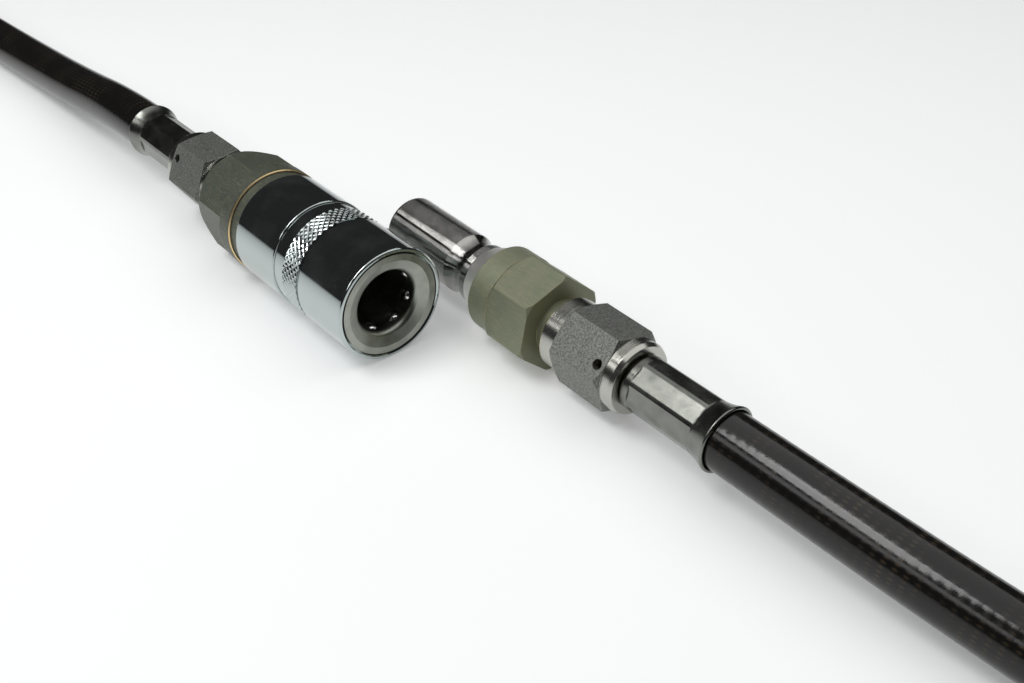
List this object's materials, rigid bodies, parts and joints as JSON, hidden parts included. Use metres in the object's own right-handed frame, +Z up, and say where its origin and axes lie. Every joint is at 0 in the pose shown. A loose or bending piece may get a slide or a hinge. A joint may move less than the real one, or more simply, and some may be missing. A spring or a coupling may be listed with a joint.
{
  "type": "quick coupling",
  "caption": "Hydraulic ball-lock quick coupling lying uncoupled: a socket half with a sprung locking sleeve and a plug half, each with a shut-off valve and a crimped hose.",
  "frame": {"origin": "centre of the socket's mouth, in the plane of the locking sleeve's front rim", "axes": "+X out of the socket's mouth along its axis, +Z up; both halves lie on a plane 14 mm below the origin"},
  "size_m": [0.6998, 0.0912, 0.028],
  "materials": {
    "chrome": "polished chrome plate with a knurled band",
    "steel": "turned and polished steel",
    "ball_steel": "polished hardened balls",
    "olive_dark": "satin dark olive passivated plate",
    "olive": "satin khaki passivated plate",
    "nut_plate": "grainy dark plate on the flats, bright turned collars",
    "ferrule_steel": "bright crimped steel",
    "stem_plate": "yellow passivated steel",
    "spring_steel": "drawn spring wire",
    "rubber_black": "glossy near-black braided hose cover",
    "seal_rubber": "moulded rubber",
    "seal_plastic": "turned plastic backup ring"
  },
  "bodies": {
    "coupling": {"socket_body": "steel", "socket_rear_body": "olive_dark", "socket_seal": "seal_rubber", "socket_backup_ring": "seal_plastic", "socket_joint_seal": "seal_rubber", "sleeve_spring": "spring_steel", "socket_poppet_spring": "spring_steel", "socket_poppet_guide": "steel", "socket_swivel_nut": "nut_plate", "socket_hose_stem": "stem_plate", "socket_ferrule": "ferrule_steel", "socket_hose": "rubber_black", "socket_far_ferrule": "ferrule_steel", "socket_far_hose_stem": "stem_plate", "plug_tip": "steel", "plug_body": "olive", "plug_poppet_spring": "spring_steel", "plug_poppet_guide": "steel", "plug_swivel_nut": "nut_plate", "plug_hose_stem": "stem_plate", "plug_ferrule": "ferrule_steel", "plug_hose": "rubber_black", "plug_far_ferrule": "ferrule_steel", "plug_far_hose_stem": "stem_plate"},
    "sleeve": {"locking_sleeve": "chrome"},
    "socket_valve": {"socket_poppet": "steel"},
    "plug_valve": {"plug_poppet": "steel"},
    "socket_far_nut": {"socket_far_swivel_nut": "nut_plate"},
    "plug_far_nut": {"plug_far_swivel_nut": "nut_plate"},
    "ball_1": {"locking_ball_1": "ball_steel"},
    "ball_2": {"locking_ball_2": "ball_steel"},
    "ball_3": {"locking_ball_3": "ball_steel"},
    "ball_4": {"locking_ball_4": "ball_steel"},
    "ball_5": {"locking_ball_5": "ball_steel"},
    "ball_6": {"locking_ball_6": "ball_steel"},
    "ball_7": {"locking_ball_7": "ball_steel"},
    "ball_8": {"locking_ball_8": "ball_steel"}
  },
  "joints": [
    {"name": "sleeve_slide", "type": "slide", "parent": "coupling", "child": "sleeve", "axis": [-1, 0, 0], "range_m": [0, 0.00315], "stiffness_N_per_m": 2500, "springref_m": -0.006, "deforming": ["sleeve_spring"]},
    {"name": "socket_valve_slide", "type": "slide", "parent": "coupling", "child": "socket_valve", "axis": [-1, 0, 0], "range_m": [0, 0.002], "stiffness_N_per_m": 1500, "springref_m": -0.003, "deforming": ["socket_poppet_spring"]},
    {"name": "plug_valve_slide", "type": "slide", "parent": "coupling", "child": "plug_valve", "axis": [0.9997, -0.0227, 0], "range_m": [0, 0.002], "stiffness_N_per_m": 1500, "springref_m": -0.003, "deforming": ["plug_poppet_spring"]},
    {"name": "socket_far_nut_turn", "type": "hinge", "parent": "coupling", "child": "socket_far_nut", "pos_m": [-0.35753, -0.0226, -0.0038], "axis": [0.9826, 0.1859, 0], "continuous": true},
    {"name": "plug_far_nut_turn", "type": "hinge", "parent": "coupling", "child": "plug_far_nut", "pos_m": [0.31976, 0.04727, -0.0038], "axis": [-0.9885, -0.151, 0], "continuous": true},
    {"name": "ball_1_slide", "type": "slide", "parent": "coupling", "child": "ball_1", "axis": [0, -0.4147, 0.91], "range_m": [0, 0.00066]},
    {"name": "ball_2_slide", "type": "slide", "parent": "coupling", "child": "ball_2", "axis": [0, -0.9367, 0.3502], "range_m": [0, 0.00066]},
    {"name": "ball_3_slide", "type": "slide", "parent": "coupling", "child": "ball_3", "axis": [0, -0.91, -0.4147], "range_m": [0, 0.00066]},
    {"name": "ball_4_slide", "type": "slide", "parent": "coupling", "child": "ball_4", "axis": [0, -0.3502, -0.9367], "range_m": [0, 0.00066]},
    {"name": "ball_5_slide", "type": "slide", "parent": "coupling", "child": "ball_5", "axis": [0, 0.4147, -0.91], "range_m": [0, 0.00066]},
    {"name": "ball_6_slide", "type": "slide", "parent": "coupling", "child": "ball_6", "axis": [0, 0.9367, -0.3502], "range_m": [0, 0.00066]},
    {"name": "ball_7_slide", "type": "slide", "parent": "coupling", "child": "ball_7", "axis": [0, 0.91, 0.4147], "range_m": [0, 0.00066]},
    {"name": "ball_8_slide", "type": "slide", "parent": "coupling", "child": "ball_8", "axis": [0, 0.3502, 0.9367], "range_m": [0, 0.00066]}
  ],
  "couplings": [
    {"joint": "ball_1_slide", "follows": "sleeve_slide", "ratio": 0.20635},
    {"joint": "ball_2_slide", "follows": "sleeve_slide", "ratio": 0.20635},
    {"joint": "ball_3_slide", "follows": "sleeve_slide", "ratio": 0.20635},
    {"joint": "ball_4_slide", "follows": "sleeve_slide", "ratio": 0.20635},
    {"joint": "ball_5_slide", "follows": "sleeve_slide", "ratio": 0.20635},
    {"joint": "ball_6_slide", "follows": "sleeve_slide", "ratio": 0.20635},
    {"joint": "ball_7_slide", "follows": "sleeve_slide", "ratio": 0.20635},
    {"joint": "ball_8_slide", "follows": "sleeve_slide", "ratio": 0.20635}
  ]
}
